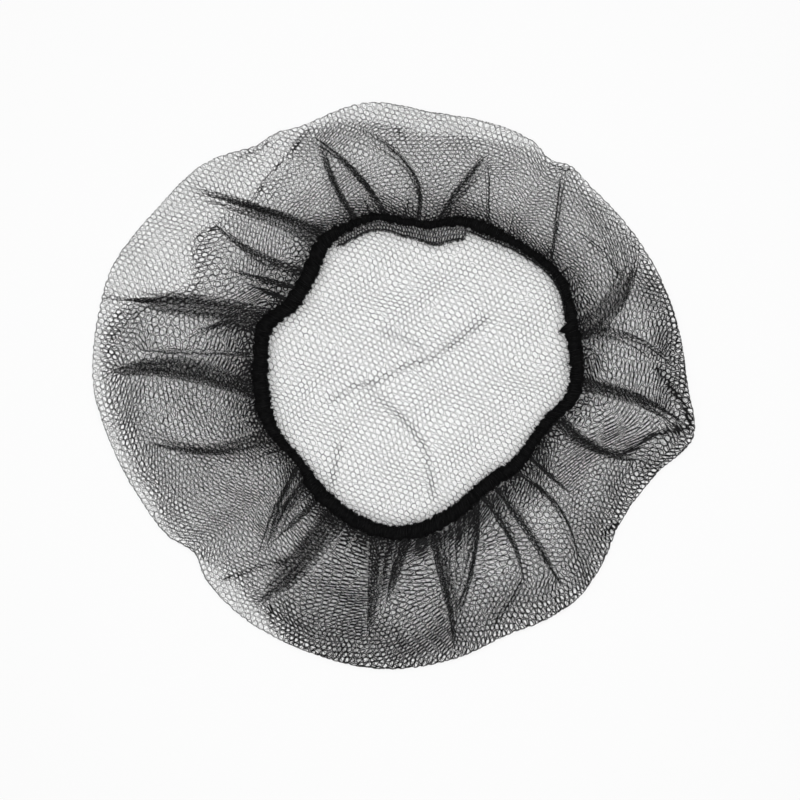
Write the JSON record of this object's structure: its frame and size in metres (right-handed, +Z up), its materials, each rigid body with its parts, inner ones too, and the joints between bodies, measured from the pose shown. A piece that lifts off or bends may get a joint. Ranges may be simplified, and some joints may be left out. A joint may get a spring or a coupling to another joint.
{
  "type": "disposable hairnet",
  "caption": "Round black mesh hairnet lying crown down, its net gathered in folds on an elastic hem round an open mouth.",
  "frame": {"origin": "middle of the lying net's footprint, on the surface that its crown lies on", "axes": "+Z up, out of the open mouth; +X along the longest side of the footprint, to the right of the picture; +Y to the top of the picture"},
  "size_m": [0.2898, 0.2735, 0.0224],
  "materials": {
    "nylon_net": "knitted nylon net, matt black",
    "elastic_hem": "bunched nylon over elastic, matt black"
  },
  "bodies": {
    "root": {"net_cap": "nylon_net", "elastic_hem": "elastic_hem", "hem_flap": "nylon_net"}
  },
  "joints": []
}
